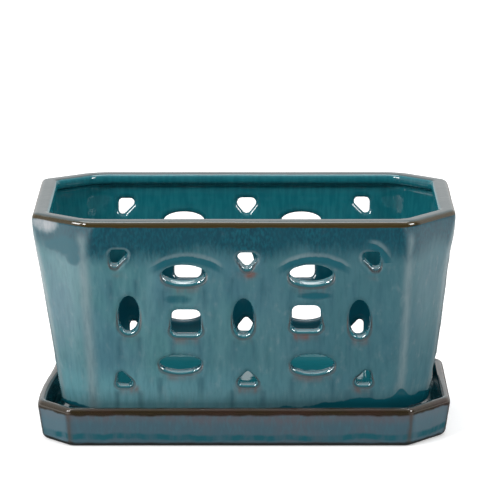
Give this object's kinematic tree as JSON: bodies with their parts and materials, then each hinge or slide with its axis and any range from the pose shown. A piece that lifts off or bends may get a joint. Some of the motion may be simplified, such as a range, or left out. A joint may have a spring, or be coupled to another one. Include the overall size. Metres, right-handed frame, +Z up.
{
  "type": "orchid pot with slots",
  "caption": "Oblong eight-sided glazed orchid pot with slotted walls, a thick lip, drain holes and corner feet, lifting out of a matching drip saucer.",
  "frame": {"origin": "on the table, under the middle of the saucer", "axes": "+X along the long side, +Y towards the back, +Z up"},
  "size_m": [0.28, 0.17, 0.154],
  "materials": {
    "pot_glaze": "glossy streaked blue-green glaze that breaks brown at the edges",
    "saucer_glaze": "glossy grey-blue glaze that breaks brown at the edges"
  },
  "bodies": {
    "saucer": {"saucer": "saucer_glaze"},
    "pot": {"pot": "pot_glaze"}
  },
  "joints": [
    {"name": "pot_lift", "type": "slide", "parent": "saucer", "child": "pot", "axis": [0, 0, 1], "range_m": [0, 0.08]}
  ]
}
